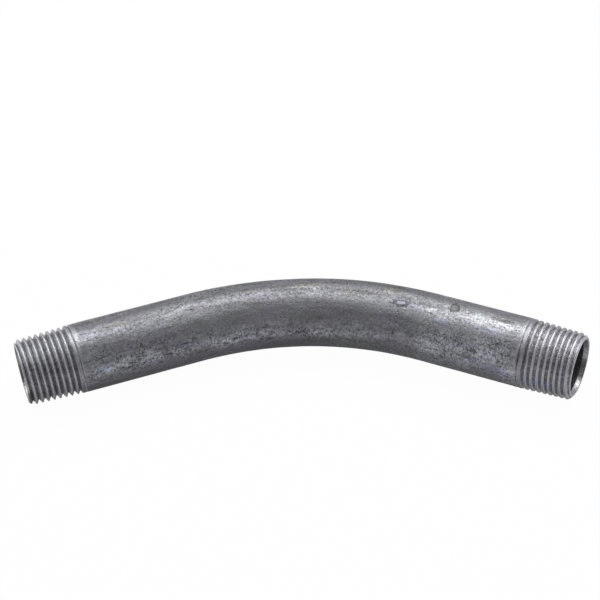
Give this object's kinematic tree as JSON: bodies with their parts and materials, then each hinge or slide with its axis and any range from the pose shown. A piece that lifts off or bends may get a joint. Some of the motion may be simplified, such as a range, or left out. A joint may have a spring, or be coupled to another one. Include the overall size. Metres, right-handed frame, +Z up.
{
  "type": "threaded pipe elbow",
  "caption": "Galvanised steel 45 degree pipe bend, one piece, with a tapered male thread on both ends.",
  "frame": {"origin": "on the surface the bend lies on, at the bottom centre of its box", "axes": "+Z up out of the plane of the bend, +X from the long leg's end to the short leg's end, +Y towards the crown of the bend"},
  "size_m": [0.1751, 0.0476, 0.0213],
  "materials": {
    "galvanised_steel": "dull grey hot-dip zinc coat, lightly mottled and pitted"
  },
  "bodies": {
    "root": {"pipe_bend": "galvanised_steel"}
  },
  "joints": []
}
